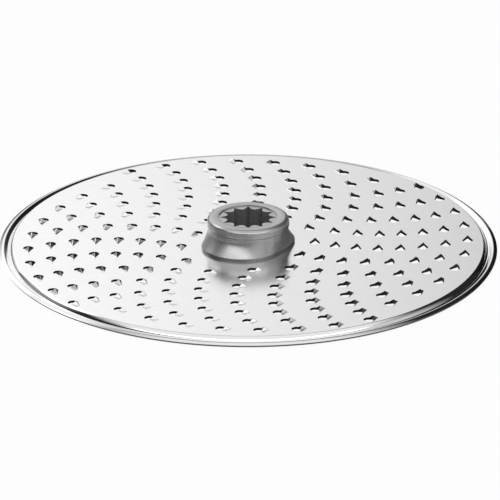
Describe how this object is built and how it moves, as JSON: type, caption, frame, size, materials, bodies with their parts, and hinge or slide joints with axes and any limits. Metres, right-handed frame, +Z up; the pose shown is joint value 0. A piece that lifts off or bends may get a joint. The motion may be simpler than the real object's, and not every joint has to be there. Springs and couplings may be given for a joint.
{
  "type": "food processor disc",
  "caption": "Round steel grating disc for a food processor, with spiral rows of raised teeth, a pressed rim and a moulded drive hub with a splined socket.",
  "frame": {"origin": "on the hub's axis, in the plane that the disc stands on", "axes": "+Z up along the hub's axis, towards the toothed side; +X to the right and +Y away from the picture's viewer"},
  "size_m": [0.159, 0.159, 0.0121],
  "materials": {
    "polished_steel": "polished",
    "grey_plastic": "moulded, matt"
  },
  "bodies": {
    "root": {"grating_plate": "polished_steel", "drive_hub": "grey_plastic"}
  },
  "joints": []
}
